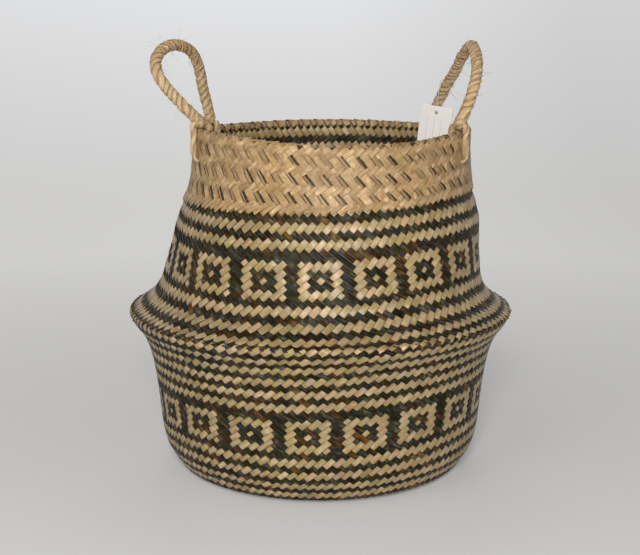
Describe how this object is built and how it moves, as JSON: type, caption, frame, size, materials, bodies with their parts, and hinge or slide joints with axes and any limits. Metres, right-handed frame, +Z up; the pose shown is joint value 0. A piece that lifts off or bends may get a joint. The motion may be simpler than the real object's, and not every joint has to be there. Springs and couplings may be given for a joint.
{
  "type": "belly basket",
  "caption": "Round soft woven basket with a wide lower bowl, a narrower neck that folds down into it, a turned-down cuff, two rope handles on the rim and a small hanging card tag.",
  "frame": {"origin": "on the floor under the middle of the base", "axes": "+Z up, +X to the right and +Y away from the viewer of the front; the handles stand at -X and +X"},
  "size_m": [0.3198, 0.3198, 0.3578],
  "materials": {
    "woven_base": "natural woven grass, satin",
    "bowl_wall": "natural and dark woven grass in squares, satin",
    "belly_fold": "dark and natural woven grass, satin",
    "shoulder": "natural and dark woven grass in stripes, satin",
    "neck_wall": "natural and dark woven grass in squares, satin",
    "rim_cuff": "natural woven grass, satin",
    "left_front_strand": "wound grass rope, matte",
    "left_rear_strand": "wound grass rope, matte",
    "right_front_strand": "wound grass rope, matte",
    "right_rear_strand": "wound grass rope, matte",
    "left_front_lashing": "wound grass rope, matte",
    "left_rear_lashing": "wound grass rope, matte",
    "right_front_lashing": "wound grass rope, matte",
    "right_rear_lashing": "wound grass rope, matte",
    "left_handle_rope": "wound grass rope, matte",
    "right_handle_rope": "wound grass rope, matte",
    "hang_tag": "printed card, matte",
    "tag_string": "clear nylon thread, glossy",
    "tag_string_knot": "clear nylon thread, glossy"
  },
  "bodies": {
    "bowl": {"woven_base": "woven_base", "bowl_wall": "bowl_wall", "belly_fold": "belly_fold", "shoulder": "shoulder"},
    "neck": {"neck_wall": "neck_wall", "rim_cuff": "rim_cuff", "left_front_strand": "left_front_strand", "left_rear_strand": "left_rear_strand", "right_front_strand": "right_front_strand", "right_rear_strand": "right_rear_strand", "left_front_lashing": "left_front_lashing", "left_rear_lashing": "left_rear_lashing", "right_front_lashing": "right_front_lashing", "right_rear_lashing": "right_rear_lashing"},
    "left_handle": {"left_handle_rope": "left_handle_rope"},
    "right_handle": {"right_handle_rope": "right_handle_rope", "tag_string": "tag_string"},
    "tag": {"hang_tag": "hang_tag", "tag_string_knot": "tag_string_knot"}
  },
  "joints": [
    {"name": "neck_push_down", "type": "slide", "parent": "bowl", "child": "neck", "axis": [0, 0, -1], "range_m": [0, 0.09], "deforming": ["shoulder"]},
    {"name": "left_handle_tilt", "type": "hinge", "parent": "neck", "child": "left_handle", "pos_m": [-0.09481, 0.00182, 0.29049], "axis": [-0.0174, -0.9982, 0.0581], "range_deg": [-60, 45]},
    {"name": "right_handle_tilt", "type": "hinge", "parent": "neck", "child": "right_handle", "pos_m": [0.1034, 0.01072, 0.28991], "axis": [-0.1131, 0.9926, -0.0444], "range_deg": [-60, 50], "deforming": ["tag_string"]},
    {"name": "tag_swing", "type": "hinge", "parent": "neck", "child": "tag", "pos_m": [0.0984, 0.0341, 0.29475], "axis": [-0.9327, 0.3395, 0.1219], "range_deg": [-15, 60]}
  ]
}
